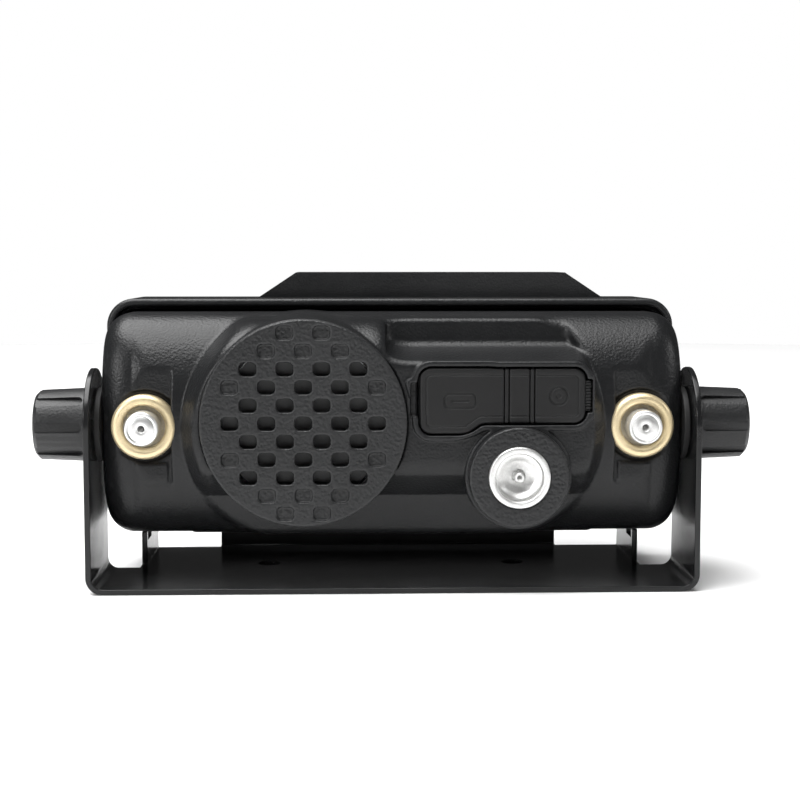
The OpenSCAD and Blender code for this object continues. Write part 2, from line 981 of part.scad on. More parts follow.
mounting_bracket();
thumb_knob(-1);  // left_thumb_knob
thumb_knob(1);  // right_thumb_knob
knob_stud(-1);  // left_knob_stud
knob_stud(1);  // right_knob_stud
side_washers();
side_inserts();
rear_housing();
front_housing();
housing_gasket();
display_hood();
display_window();
lcd_module();
speaker_grille();
speaker_gasket();
speaker_basket();
speaker_cone();
port_strap();
usb_flap();
audio_flap();
usb_socket();
audio_socket();
antenna_jack(-1);  // left_antenna_jack
antenna_jack(1);  // right_antenna_jack
antenna_rings();
antenna_nuts();
power_boss();
power_shell();
power_insulator();
power_pin();
main_board();
rf_shield();
chassis_plate();
key_board();
panel_key(0);  // menu_key
panel_key(1);  // back_key
panel_key(2);  // up_key
panel_key(3);  // down_key
call_key();
dial(volume_z, volume_knob_d / 2, volume_knob_end);  // volume_knob
dial_shaft(volume_z, volume_knob_end);  // volume_shaft
dial_encoder(volume_z);  // volume_encoder
dial(channel_z, channel_knob_d / 2, channel_knob_end);  // channel_knob
dial_shaft(channel_z, channel_knob_end);  // channel_shaft
dial_encoder(channel_z);  // channel_encoder
mic_socket();
status_lens();
case_screws();
board_screws();
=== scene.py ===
"""Looks of a mobile transceiver in its tilting bracket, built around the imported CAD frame."""
import math

import bmesh
import bpy
import numpy as np
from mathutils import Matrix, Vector


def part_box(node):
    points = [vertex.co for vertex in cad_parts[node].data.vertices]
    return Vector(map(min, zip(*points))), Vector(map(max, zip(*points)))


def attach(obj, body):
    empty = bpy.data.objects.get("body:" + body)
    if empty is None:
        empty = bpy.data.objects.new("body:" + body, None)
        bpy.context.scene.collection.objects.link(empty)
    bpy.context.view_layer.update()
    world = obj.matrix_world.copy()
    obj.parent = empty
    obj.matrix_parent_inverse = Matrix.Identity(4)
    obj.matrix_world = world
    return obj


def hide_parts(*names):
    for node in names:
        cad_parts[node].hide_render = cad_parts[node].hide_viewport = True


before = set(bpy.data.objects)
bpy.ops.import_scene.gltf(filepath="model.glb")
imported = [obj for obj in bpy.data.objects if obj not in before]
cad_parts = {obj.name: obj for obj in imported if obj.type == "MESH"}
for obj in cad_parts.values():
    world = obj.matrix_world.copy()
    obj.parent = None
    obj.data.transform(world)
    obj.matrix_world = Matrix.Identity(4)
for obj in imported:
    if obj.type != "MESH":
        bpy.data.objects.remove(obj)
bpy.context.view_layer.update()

MM = 0.001


# ---- Places taken from the frame, in millimetres ---------------------------------------------

def low(node):
    """Lowest corner of a CAD node, in millimetres."""
    return np.array(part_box(node)[0]) / MM


def high(node):
    """Highest corner of a CAD node, in millimetres."""
    return np.array(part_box(node)[1]) / MM


def middle(node):
    return (low(node) + high(node)) / 2


REAR_HIGH = high("rear_housing")
FRONT_LOW, FRONT_HIGH = low("front_housing"), high("front_housing")
MID_Z = middle("left_knob_stud")[2]
HALF_W = REAR_HIGH[0]
HALF_H = 21.1
CORNER_R = 5.3
SEAM_Y = FRONT_LOW[1]
TONGUE_END = REAR_HIGH[1]
BARREL_Y = SEAM_Y - 6.3
BARREL_D = 12.0
SIDE_R = 6.0
WALL = 2.1
POST_X = (-28, 39.8)
POST_Z = (16.5, 45)
SCREW_X = 44
SCREW_Y = 3
SCREW_HOLE_R = 1.3
SCREW_DEPTH_Z = 17
BRACKET_Y = -11
INSERT_R = 3.6
INSERT_IN = 50
SPEAKER_BORE_R = 17.2
JACK_BORE_R = 3.23
SHELL_BORE_R = 5.7

FACE_Y = -23.2
FACE_HALF_W = 36.2
FACE_TOP = 43.2
FACE_BOTTOM = 23.3
ARC_X = 14.9
ARC_R = 24.4
SHELF = (-14.6, 45.4)
SCOOP_WALL_Y = -13.3
SCOOP_END = 32.5
SCOOP_TOP = 49.8

SPEAKER = middle("speaker_grille")
GRILLE_R = (high("speaker_grille")[0] - low("speaker_grille")[0]) / 2
GRILLE_Y = low("speaker_grille")[1]
POWER = middle("power_boss")
BOSS_R = (high("power_boss")[0] - low("power_boss")[0]) / 2
JACK_X = middle("right_antenna_jack")[0]
JACK_Z = middle("right_antenna_jack")[2]
POCKET_Y = -17.9
RECESS_Y = -21.1
FLAP_LEFT = low("usb_flap")[0]
FLAP_RIGHT = high("audio_flap")[0]
FLAP_TOP = high("usb_flap")[2]
FLAP_LOW = low("usb_flap")[2]
FLAP_HIGH_LOW = low("audio_flap")[2]
FLAP_R = 2.2
FLAP_FACE_Y = low("usb_flap")[1]


# ---- Solids as distance fields ---------------------------------------------------------------

def smooth_min(a, b, k):
    """Union with a fillet about k wide."""
    h = np.maximum(k - np.abs(a - b), 0) / k
    return np.minimum(a, b) - h * h * k / 4


def smooth_max(a, b, k):
    """Intersection with a rounding about k wide."""
    return -smooth_min(-a, -b, k)


def round_max(a, b, r):
    """Intersection whose shared edge is an arc of radius r."""
    inside = np.minimum(np.maximum(a + r, b + r), 0)
    return inside + np.hypot(np.maximum(a + r, 0), np.maximum(b + r, 0)) - r


def rounded_rect(u, v, half_u, half_v, r):
    qu, qv = np.abs(u) - half_u + r, np.abs(v) - half_v + r
    return np.hypot(np.maximum(qu, 0), np.maximum(qv, 0)) + np.minimum(np.maximum(qu, qv), 0) - r


def between(v, a, b):
    """Negative where v lies between a and b."""
    return np.abs(v - (a + b) / 2) - (b - a) / 2


def disc(x, z, centre, r):
    return np.hypot(x - centre[0], z - centre[-1]) - r


def step(v, a, b):
    """0 below a, 1 above b, smooth between them."""
    t = np.clip((v - a) / (b - a), 0, 1)
    return t * t * (3 - 2 * t)


def smooth_mesh(name, field, lowest, highest, pitch):
    """Mesh of the solid where field(x, y, z) is below 0: surface nets moved onto the surface."""
    lowest = np.array(lowest, float) - 2 * np.array(pitch)
    pitch = np.array(pitch, float)
    counts = np.ceil((np.array(highest) - lowest) / pitch).astype(int) + 2
    x, y, z = np.meshgrid(*[l + p * np.arange(n + 1) for l, p, n in zip(lowest, pitch, counts)],
                          indexing="ij", sparse=True)
    value = np.broadcast_to(field(x, y, z), counts + 1).astype(np.float32)
    inside = value < 0
    corners = [(i, j, k) for i in (0, 1) for j in (0, 1) for k in (0, 1)]
    total = np.zeros(counts, np.uint8)
    for i, j, k in corners:
        total += inside[i:counts[0] + i, j:counts[1] + j, k:counts[2] + k]
    cells = np.argwhere((total > 0) & (total < 8))
    number = np.full(counts, -1, np.int32)
    number[tuple(cells.T)] = np.arange(len(cells))
    at = {c: value[tuple((cells + c).T)] for c in corners}
    place, found = np.zeros((len(cells), 3)), np.zeros(len(cells))
    for a in corners:
        for axis in range(3):
            if a[axis]:
                continue
            b = tuple(1 if n == axis else a[n] for n in range(3))
            crosses = (at[a] < 0) != (at[b] < 0)
            t = np.where(crosses, at[a] / np.where(crosses, at[a] - at[b], 1), 0)
            for n in range(3):
                place[:, n] += np.where(crosses, a[n] + (t if n == axis else 0), 0)
            found += crosses
    point = lowest + (cells + place / found[:, None]) * pitch
    start, reach, eps = point.copy(), 0.7 * pitch, 0.03
    for _ in range(4):
        f = field(*point.T)
        rise = [field(*(point + d).T) - field(*(point - d).T) for d in np.eye(3) * eps]
        slope = np.stack(rise, 1) / (2 * eps)
        point -= slope * (f / np.maximum((slope ** 2).sum(1), 0.2))[:, None]
        point = np.clip(point, start - reach, start + reach)
    faces = []
    for axis in range(3):
        u, v = (axis + 1) % 3, (axis + 2) % 3
        span = [slice(1, counts[n]) for n in range(3)]
        span[axis] = slice(0, counts[axis])
        ahead = list(span)
        ahead[axis] = slice(1, counts[axis] + 1)
        here, there = inside[tuple(span)], inside[tuple(ahead)]
        edge = np.argwhere(here != there)
        solid = here[tuple(edge.T)]
        edge[:, u] += 1
        edge[:, v] += 1
        ring = []
        for du, dv in ((1, 1), (0, 1), (0, 0), (1, 0)):
            cell = edge.copy()
            cell[:, u] -= du
            cell[:, v] -= dv
            ring.append(number[tuple(cell.T)])
        quads = np.stack(ring, 1)
        quads[~solid] = quads[~solid][:, ::-1]
        faces.append(quads)
    return mesh_object(name, point, np.concatenate(faces))


def mesh_object(name, points, faces):
    """A new smooth-shaded object from points in millimetres and quads."""
    mesh = bpy.data.meshes.new(name)
    points, faces = np.asarray(points, float) * MM, np.asarray(faces, int)
    mesh.vertices.add(len(points))
    mesh.vertices.foreach_set("co", points.astype(np.float32).ravel())
    mesh.loops.add(faces.size)
    mesh.loops.foreach_set("vertex_index", faces.astype(np.int32).ravel())
    mesh.polygons.add(len(faces))
    mesh.polygons.foreach_set("loop_start", np.arange(0, faces.size, faces.shape[1], dtype=np.int32))
    mesh.polygons.foreach_set("use_smooth", np.ones(len(faces), bool))
    mesh.update(calc_edges=True)
    mesh.validate()
    piece = bpy.data.objects.new(name, mesh)
    bpy.context.scene.collection.objects.link(piece)
    return piece


# ---- Rear housing ----------------------------------------------------------------------------

def barrel_back(z):
    """Y of the barrel's surface at a height."""
    return BARREL_Y - BARREL_D * np.sqrt(np.maximum(1 - ((z - MID_Z) / HALF_H) ** 2, 0))


def barrel(x, y, z):
    depth = np.maximum(BARREL_Y - y, 0)
    rise = np.abs(z - MID_Z)
    p = np.hypot(rise / HALF_H, depth / BARREL_D)
    q = np.hypot(rise / HALF_H ** 2, depth / BARREL_D ** 2)
    ellipse = np.where(p > 1e-6, p * (p - 1) / np.maximum(q, 1e-9), -BARREL_D)
    over = np.maximum(depth - (BARREL_D - SIDE_R), 0)
    across = np.abs(x) - (HALF_W - SIDE_R)
    side = np.hypot(np.maximum(across, 0), over) - SIDE_R + np.minimum(across, 0)
    half = HALF_H * np.sqrt(np.maximum(1 - (depth / BARREL_D) ** 2, 0))
    return round_max(ellipse, side, np.clip(half, 0.6, CORNER_R))


def shelf_line(y, z):
    """Positive above the sloping shelf over the ports."""
    run, rise = SHELF[0] - FACE_Y, SHELF[1] - FACE_TOP
    return ((z - FACE_TOP) * run - (y - FACE_Y) * rise) / math.hypot(run, rise)


def plateau(x, y, z):
    """The raised panel: a flat face, sides that slope out to an arc, and a bevel along the bottom."""
    arc = np.hypot(np.maximum(np.abs(x) - ARC_X, 0), z - MID_Z)
    inner_r = np.where(x < 0, 21.4, 22.0 + 1.9 * step(z, 28, 36))
    inner = smooth_max(np.where(x < 0, -60.0, x - FACE_HALF_W), arc - inner_r, 1.2)
    a = smooth_max(inner, 0 * inner, 1.3)
    b = np.maximum(ARC_R - arc, 0) + 0.15
    back = barrel_back(z)
    share = a / (a + b)
    surface = FACE_Y + share * (back - FACE_Y) + np.maximum(arc - ARC_R, 0) * 2
    steep = (back - FACE_Y) / (a + b) * (a > 0.05)
    side = (surface - y) / np.hypot(1, steep)
    bevel = (-5.3 * (y - FACE_Y) - 5.5 * (z - FACE_BOTTOM)) / 7.64
    foot = (-5.0 * (y + 17.7) - 1.7 * (z - 18)) / 5.28
    below = smooth_max(np.minimum(bevel, foot), MID_Z - HALF_H + 0.3 - z, 1.5)
    return smooth_max(smooth_max(side, below, 1.4), roof(y, z), 1.2)


def roof(y, z):
    """The raised panel's top, rounded over towards the barrel."""
    depth, rise = np.maximum(-12 - y, 0), np.maximum(z - 42, 0)
    p = np.hypot(rise / 9, depth / 11.2)
    q = np.hypot(rise / 81, depth / 125.4)
    return np.where(p > 1e-6, p * (p - 1) / np.maximum(q, 1e-9), -9)


def scoop(x, y, z):
    """The step cut above the ports."""
    wall = y - SCOOP_WALL_Y - (z - SHELF[1]) * 0.09
    end = (x - SCOOP_END - 0.32 * (SCOOP_TOP - z) + 0.5 * (y - SCOOP_WALL_Y)) / 1.17
    cut = smooth_max(-shelf_line(y, z), wall, 1.6)
    return smooth_max(smooth_max(cut, end, 1.0), (-x - 1.5) * 0.35, 2.0)


def flap_shape(x, z):
    """Flat outline of the two port flaps and their strap together."""
    wide = rounded_rect(x - (FLAP_LEFT + FLAP_RIGHT) / 2, z - (FLAP_TOP + FLAP_HIGH_LOW) / 2,
                        (FLAP_RIGHT - FLAP_LEFT) / 2, (FLAP_TOP - FLAP_HIGH_LOW) / 2, FLAP_R)
    slant = ((x - 14.7) * 1.9 - (z - 30.95) * 2.6) / 3.22
    pad = rounded_rect(x - 12, z - (FLAP_TOP + FLAP_LOW) / 2,
                       12 - FLAP_LEFT, (FLAP_TOP - FLAP_LOW) / 2, FLAP_R)
    return smooth_min(wide, round_max(pad, slant, 0.8), 0.5)


def pocket(x, y, z):
    """Pocket round an antenna jack, with a round seat for the ring and a raised blank label plate."""
    u, v = np.abs(x) - JACK_X, z - JACK_Z
    hole = smooth_max(rounded_rect(u, v, 5, 11, 0.9), y - POCKET_Y, 0.3)
    seat = smooth_max(np.hypot(u, v) - 6.75, y - POCKET_Y - 0.35, 0.3)
    seat = smooth_max(seat, np.abs(u) - 5, 0.2)
    label = smooth_max(rounded_rect(u, z - 22.2, 4.2, 1.9, 0.3), POCKET_Y - 0.35 - y, 0.2)
    return smooth_max(np.minimum(hole, seat), -label, 0.2)


def rear_outside(x, y, z):
    f = barrel(x, y, z)
    f = smooth_min(f, plateau(x, y, z), 0.5)
    f = smooth_max(f, -scoop(x, y, z), 1.2)
    taper = GRILLE_R + 0.1 + 0.05 * (y - GRILLE_Y)
    holder = smooth_max(disc(x, z, SPEAKER, taper), GRILLE_Y + 1.6 - y, 0.2)
    f = smooth_min(f, holder, 0.35)
    f = smooth_max(f, -np.maximum(disc(x, z, SPEAKER, GRILLE_R + 0.25), y - GRILLE_Y - 1.6), 0.15)
    seat = smooth_max(disc(x, z, POWER, BOSS_R + 0.65), FACE_Y - 0.45 - y, 0.35)
    f = smooth_min(f, seat, 0.3)
    outline = flap_shape(x, z)
    bulge = rounded_rect(x - 3.8, z - 36.4, 1.9, 3.8, 1.2)
    tab_side = rounded_rect(x - 35.8, z - 37.0, 1.0, 4.4, 0.6)
    collar = smooth_min(smooth_min(outline - 1.25, bulge, 0.8), tab_side, 0.6)
    moat = disc(x, z, SPEAKER, GRILLE_R + 1.1)
    collar = smooth_max(collar, -moat, 0.3)
    f = smooth_min(f, smooth_max(collar, FACE_Y - 0.32 - y, 0.22), 0.18)
    finger = rounded_rect(x - 4.0, z - 36.4, 1.1, 3.1, 0.3)
    tab = rounded_rect(x - 35.5, z - 37.0, 0.9, 3.1, 0.25)
    f = smooth_max(f, -smooth_max(outline - 0.28, y - RECESS_Y, 0.25), 0.25)
    f = smooth_max(f, -smooth_max(finger, y - FACE_Y - 1.3, 0.2), 0.2)
    f = smooth_max(f, -smooth_max(tab, y - FACE_Y - 1.1, 0.15), 0.15)
    return smooth_max(f, -pocket(x, y, z), 0.35)


def rear_housing_field(x, y, z):
    outside = rear_outside(x, y, z)
    prism = rounded_rect(x, z - MID_Z, HALF_W - 3.7, HALF_H - 3.5, 2.1)
    cavity = smooth_max(outside + WALL, prism, 1.0)
    tongue = rounded_rect(x, z - MID_Z, HALF_W - 2, HALF_H - 1.7, CORNER_R - 2)
    tongue = np.maximum(tongue, between(y, SEAM_Y - 1, TONGUE_END))
    shell = np.minimum(round_max(outside, y - SEAM_Y, 0.4), tongue)
    underside = MID_Z - HALF_H
    pad = between(z, underside - 0.2, underside + 1)
    pad = round_max(rounded_rect(x, y + 5.2, 38.8, 3.6, 1.5), pad, 0.15)
    shell = np.minimum(shell, pad)
    shell = np.maximum(shell, -cavity)
    reach = np.abs(x)
    axis = np.hypot(y - BRACKET_Y, z - MID_Z)
    shell = np.maximum(shell, -np.maximum(axis - INSERT_R, INSERT_IN - reach))
    gasket = np.maximum(np.maximum(rounded_rect(x, z - MID_Z, HALF_W - 0.6, HALF_H - 0.6, 4.7),
                                   -rounded_rect(x, z - MID_Z, HALF_W - 1.7, HALF_H - 1.6, 3.7)),
                        np.maximum(SEAM_Y - 0.5 - y, y - SEAM_Y - 0.2))
    shell = np.maximum(shell, -gasket)
    usb, audio = middle("usb_socket"), middle("audio_socket")
    holes = [
        disc(x, z, SPEAKER, SPEAKER_BORE_R),
        np.maximum(np.hypot(reach - JACK_X, z - JACK_Z) - JACK_BORE_R, y - BARREL_Y),
        disc(x, z, POWER, SHELL_BORE_R),
        rounded_rect(x - usb[0], z - usb[2], 4.45, 2.05, 0.5),
        disc(x, z, audio, 3.5),
    ]
    for hole in holes:
        shell = smooth_max(shell, -np.maximum(hole, y - BARREL_Y), 0.2)
    screws = np.maximum(np.hypot(reach - SCREW_X, y - SCREW_Y) - SCREW_HOLE_R, z - SCREW_DEPTH_Z)
    return np.maximum(shell, -screws)


# ---- Front housing ---------------------------------------------------------------------------

DISPLAY = middle("display_window")
DISPLAY_HALF = (high("display_window") - low("display_window")) / 2
FRONT_W = FRONT_HIGH[0]
FRONT_Z = (FRONT_LOW[2] + FRONT_HIGH[2]) / 2
FRONT_HALF_H = (FRONT_HIGH[2] - FRONT_LOW[2]) / 2
PANEL_Y = FRONT_HIGH[1]
PANEL_BACK = PANEL_Y - 2.2
KEYS = ["menu_key", "back_key", "up_key", "down_key"]


def front_housing_field(x, y, z):
    v = z - FRONT_Z
    outline = rounded_rect(x, v, FRONT_W, FRONT_HALF_H, 5.4)
    body = round_max(round_max(outline, SEAM_Y - y, 0.75), y - PANEL_Y, 1.5)
    window = rounded_rect(x - DISPLAY[0], z - DISPLAY[2], DISPLAY_HALF[0] + 1.6, DISPLAY_HALF[2] + 1.6, 1.6)
    groove = np.abs(rounded_rect(x - DISPLAY[0], z - DISPLAY[2], DISPLAY_HALF[0] + 3.4,
                                 DISPLAY_HALF[2] + 3.4, 2.6)) - 0.28
    body = smooth_max(body, -np.maximum(groove, PANEL_Y - 0.45 - y), 0.25)
    bezel = np.maximum(window, PANEL_Y + 0.2 - 0.55 - y)
    body = smooth_max(body, -bezel, 0.3)
    cavity = np.maximum(rounded_rect(x, v, FRONT_W - 2.2, FRONT_HALF_H - 2.2, 3.2), y - PANEL_BACK)
    lip = np.maximum(rounded_rect(x, v, FRONT_W - 1.45, FRONT_HALF_H - 1.45, 4), y - SEAM_Y - 2.2)
    body = smooth_max(body, -np.minimum(cavity, lip), 0.3)
    places = [(px, pz) for px in POST_X for pz in POST_Z]
    for at in places:
        body = np.minimum(body, np.maximum(disc(x, z, at, 2.4), between(y, 5.8, PANEL_BACK + 0.3)))
    holes = [np.maximum(disc(x, z, at, 1.05), y - 10) for at in places]
    across, up = x - DISPLAY[0], z - DISPLAY[2]
    ledge = rounded_rect(across, up, DISPLAY_HALF[0], DISPLAY_HALF[2], 0.2)
    holes.append(np.maximum(ledge, PANEL_Y - 1.2 - y))
    holes.append(rounded_rect(across, up, DISPLAY_HALF[0] - 1.5, DISPLAY_HALF[2] - 1.5, 0.2))
    for key in KEYS:
        c = middle(key)
        holes.append(rounded_rect(x - c[0], z - c[2], 5.8, 2.8, 1.3))
    holes.append(disc(x, z, middle("call_key"), 3.9))
    for shaft in ("volume_shaft", "channel_shaft"):
        holes.append(disc(x, z, middle(shaft), 3.6))
    holes.append(disc(x, z, middle("mic_socket"), 6.0))
    holes.append(disc(x, z, middle("status_lens"), 1.2))
    for hole in holes:
        body = smooth_max(body, -np.maximum(hole, PANEL_BACK - 12 - y), 0.3)
    for knob, r in (("volume_knob", 8.4), ("channel_knob", 6.9)):
        ring = np.abs(disc(x, z, middle(knob), r)) - 0.22
        body = smooth_max(body, -np.maximum(ring, PANEL_Y - 0.4 - y), 0.2)
    well = rounded_rect(across, z - middle("menu_key")[2], 30, 5.2, 2.2)
    body = smooth_max(body, -np.maximum(well, PANEL_Y - 0.4 - y), 0.4)
    away = np.hypot(np.abs(x) - SCREW_X, y - SCREW_Y)
    screws = np.minimum(away - SCREW_HOLE_R, np.maximum(away - 2 * SCREW_HOLE_R, z - 10))
    body = np.maximum(body, -np.maximum(screws, z - SCREW_DEPTH_Z))
    slot = np.maximum(rounded_rect(x - DISPLAY[0], y - 12, 30.8, 2.1, 0.2), 52.9 - z)
    return np.maximum(body, -slot)


# ---- Speaker grille --------------------------------------------------------------------------

PITCH, ROW = 6.72, 3.32
OPEN_ROWS = {3: 4, 2: 3, 1: 4, 0: 5, -1: 4, -2: 3, -3: 4}
BLIND_ROWS = {5: 2, 4: 3, -4: 3, -5: 2}


def grille_centres(rows):
    return [((i - (count - 1) / 2) * PITCH, row * ROW) for row, count in rows.items() for i in range(count)]


def grille_field(x, y, z):
    u, v = x - SPEAKER[0], z - SPEAKER[2]
    r = np.hypot(u, v)
    f = round_max(round_max(r - GRILLE_R - 0.1, GRILLE_Y + 0.02 - y, 0.4), y - GRILLE_Y - 1.55, 0.1)
    for cu, cv in grille_centres(OPEN_ROWS):
        f = smooth_max(f, -rounded_rect(u - cu, v - cv, 1.59, 1.27, 0.9), 0.3)
    blind = grille_centres(BLIND_ROWS) + [(s * 2 * PITCH, row * ROW) for s in (-1, 1) for row in (-2, 2)]
    for cu, cv in blind:
        hole = rounded_rect(u - cu, v - cv, 1.59, 1.27, 0.9)
        f = smooth_max(f, -smooth_max(hole, y - GRILLE_Y - 0.75, 0.35), 0.3)
    return f


# ---- Turned pieces ---------------------------------------------------------------------------

def lathe(name, profile, centre, sides=96):
    """A ring turned about a Y axis. profile is (radius, y) points round the closed section."""
    points, faces = [], []
    count = len(profile)
    for k in range(sides):
        a = 2 * math.pi * k / sides
        points += [(centre[0] + r * math.cos(a), y, centre[-1] + r * math.sin(a)) for r, y in profile]
    for k in range(sides):
        here, after = k * count, (k + 1) % sides * count
        faces += [(here + i, here + (i + 1) % count, after + (i + 1) % count, after + i)
                  for i in range(count)]
    return mesh_object(name, points, faces)


def rounded(profile, r, steps=4):
    """The closed profile with each corner turned into a small arc of about radius r."""
    out = []
    for i, here in enumerate(profile):
        p, q, n = np.array(profile[i - 1]), np.array(here), np.array(profile[(i + 1) % len(profile)])
        a, b = p - q, n - q
        cut_a = min(r, np.linalg.norm(a) * 0.45) / max(np.linalg.norm(a), 1e-9)
        cut_b = min(r, np.linalg.norm(b) * 0.45) / max(np.linalg.norm(b), 1e-9)
        for k in range(steps + 1):
            t = k / steps
            out.append(tuple((1 - t) ** 2 * (q + a * cut_a) + 2 * t * (1 - t) * q + t * t * (q + b * cut_b)))
    return out


def thread(r, y0, y1, depth, pitch):
    """Profile points along a threaded stretch from y0 to y1, as ridges of the given pitch."""
    turns = int(round(abs(y1 - y0) / pitch))
    out = []
    for k in range(turns):
        y = y0 + (y1 - y0) * k / turns
        half = (y1 - y0) / turns / 2
        out += [(r - depth, y), (r, y + half * 0.7), (r, y + half * 1.3)]
    return out + [(r - depth, y1)]


def antenna_jack(name):
    """Threaded barrel with a bevelled end, a centre hole and a flange at the pocket's floor."""
    c, end, back = middle(name), low(name)[1], high(name)[1]
    flange = POCKET_Y - 0.6
    profile = [(0.65, end + 2.4), (0.65, end + 0.1), (0.75, end + 0.06), (2.3, end + 0.06),
               (2.36, end + 0.14), (2.44, end + 0.14), (2.5, end + 0.0), (2.9, end + 0.0),
               (3.12, end + 0.2)]
    profile += thread(3.175, end + 0.4, flange - 0.5, 0.07, 0.7)
    profile += [(2.95, flange), (3.8, flange), (3.9, flange + 0.1), (3.9, POCKET_Y), (3.175, POCKET_Y),
                (3.175, back), (0.02, back), (0.02, end + 2.4)]
    return lathe(name + "_turned", profile, c)


def antenna_ring(side):
    """Rounded gold ring with a flat seat."""
    mid_r, tube = 4.975, 1.075
    top = POCKET_Y - 1.075
    arc = [(mid_r + tube * math.cos(math.pi * k / 16), top - tube * math.sin(math.pi * k / 16))
           for k in range(17)]
    profile = [(mid_r + tube, POCKET_Y)] + arc + [(mid_r - tube, POCKET_Y)]
    return lathe("gold_ring_" + side, profile, ((-1 if side == "left" else 1) * JACK_X, 0, JACK_Z), 128)


def power_shell():
    """Bright shell with a rolled rim."""
    end, back = low("power_shell")[1], high("power_shell")[1]
    profile = [(5.7, back), (5.7, end + 0.35), (5.55, end + 0.08), (5.3, end), (4.75, end), (4.5, end + 0.12),
               (4.4, end + 0.4), (4.4, end + 2.3), (4.4, back - 2), (5.1, back)]
    return lathe("power_shell_turned", rounded(profile, 0.1), POWER)


def power_dish():
    """The dish round the pin, which falls in a curve to its middle."""
    end = low("power_shell")[1]
    floor = end + 2.4
    profile = [(1.2, floor + 0.1), (1.3, floor), (2.0, floor - 0.12), (3.0, floor - 0.5), (3.9, floor - 1.15),
               (4.38, floor - 1.3), (4.38, floor + 3), (1.2, floor + 3)]
    return lathe("power_dish_turned", rounded(profile, 0.3, 6), POWER)


def power_pin():
    tip, back = low("power_pin")[1], high("power_pin")[1]
    profile = [(0.3, tip + 1.4), (0.45, tip + 0.1), (0.6, tip), (0.78, tip + 0.05), (0.9, tip + 0.25),
               (0.9, tip + 2), (1.2, tip + 2.02), (1.2, back), (0.02, back), (0.02, tip + 1.4)]
    return lathe("power_pin_turned", profile, POWER, 48)


def boss_field(x, y, z):
    """Thick washer round the power connector, with a rounded rim and a fine groove near its edge."""
    r = np.hypot(x - POWER[0], z - POWER[2])
    front = low("power_boss")[1]
    f = round_max(round_max(r - BOSS_R, front - y, 0.45), y - high("power_boss")[1], 0.1)
    f = smooth_max(f, 5.72 - r, 0.25)
    groove = np.maximum(np.abs(r - BOSS_R + 1.1) - 0.12, front + 0.12 - y)
    return smooth_max(f, -np.maximum(groove, y - front - 0.3), 0.1)


# ---- Port flaps ------------------------------------------------------------------------------

HINGE_USB = high("usb_flap")[0] + 0.15
HINGE_AUDIO = low("audio_flap")[0] - 0.15
RIB = 0.36


def flap_field(x0, x1):
    """Field of the stretch of the port cover between x0 and x1, thinned by a groove at each rib."""
    def field(x, y, z):
        outline = flap_shape(x, z)
        f = round_max(outline, FLAP_FACE_Y - y, 0.55)
        f = np.maximum(f, y - RECESS_Y + 0.3)
        f = round_max(f, between(x, x0, x1), 0.28)
        inset = np.abs(outline + 1.35) - 0.12
        return smooth_max(f, -np.maximum(inset, y - FLAP_FACE_Y - 0.12), 0.12)
    return field


def strap_field(x, y, z):
    """The fixed strap between the two flaps, with a lower thin rib along each hinge."""
    middle_part = flap_field(HINGE_USB + RIB + 0.15, HINGE_AUDIO - RIB - 0.15)(x, y, z)
    ribs = [np.maximum(flap_field(hinge - RIB, hinge + RIB)(x, y, z), FLAP_FACE_Y + 0.12 - y)
            for hinge in (HINGE_USB, HINGE_AUDIO)]
    web = np.maximum(np.maximum(flap_shape(x, z), between(x, HINGE_USB - RIB, HINGE_AUDIO + RIB)),
                     between(y, RECESS_Y - 0.9, RECESS_Y - 0.3))
    return np.minimum(np.minimum(middle_part, web), np.minimum(*ribs))


def plug_mark(x, z):
    """Generic mark: a rounded slot with a bar in it."""
    c = middle("usb_socket")
    ring = np.abs(rounded_rect(x - c[0], z - c[2], 2.9, 1.25, 0.9)) - 0.2
    return np.minimum(ring, rounded_rect(x - c[0], z - c[2], 1.6, 0.22, 0.15))


def ring_mark(x, z):
    """Generic mark: a ring with a dot."""
    c = middle("audio_socket")
    r = np.hypot(x - c[0], z - c[2])
    return np.minimum(np.abs(r - 1.6) - 0.2, r - 0.5)


def marked(field, mark):
    """The flap with a shallow engraved mark."""
    return lambda x, y, z: smooth_max(field(x, y, z), -np.maximum(mark(x, z), y - FLAP_FACE_Y - 0.18), 0.1)


def usb_flap_field(x, y, z):
    skirt = rounded_rect(x - middle("usb_socket")[0], z - middle("usb_socket")[2], 3.6, 1.3, 0.4)
    plug = round_max(skirt, y - RECESS_Y - 0.9, 0.3)
    plug = np.maximum(plug, RECESS_Y - 0.5 - y)
    return np.minimum(marked(flap_field(FLAP_LEFT, HINGE_USB - RIB - 0.15), plug_mark)(x, y, z), plug)


def audio_flap_field(x, y, z):
    c = middle("audio_socket")
    plug = np.maximum(round_max(disc(x, z, c, 2.5), y - RECESS_Y - 0.9, 0.3), RECESS_Y - 0.5 - y)
    tab = rounded_rect(x - 35.6, z - 37.0, 0.62, 2.8, 0.2)
    tab = round_max(tab, FACE_Y + 0.25 - y, 0.2)
    tab = np.maximum(tab, y - RECESS_Y + 1.3)
    ribs = np.abs((z % 0.56) - 0.28) - 0.1
    tab = smooth_max(tab, -np.maximum(ribs, y - FACE_Y - 0.45), 0.08)
    cover = marked(flap_field(HINGE_AUDIO + RIB + 0.15, FLAP_RIGHT), ring_mark)(x, y, z)
    return np.minimum(np.minimum(cover, plug), tab)


# ---- Carried-over pieces ---------------------------------------------------------------------

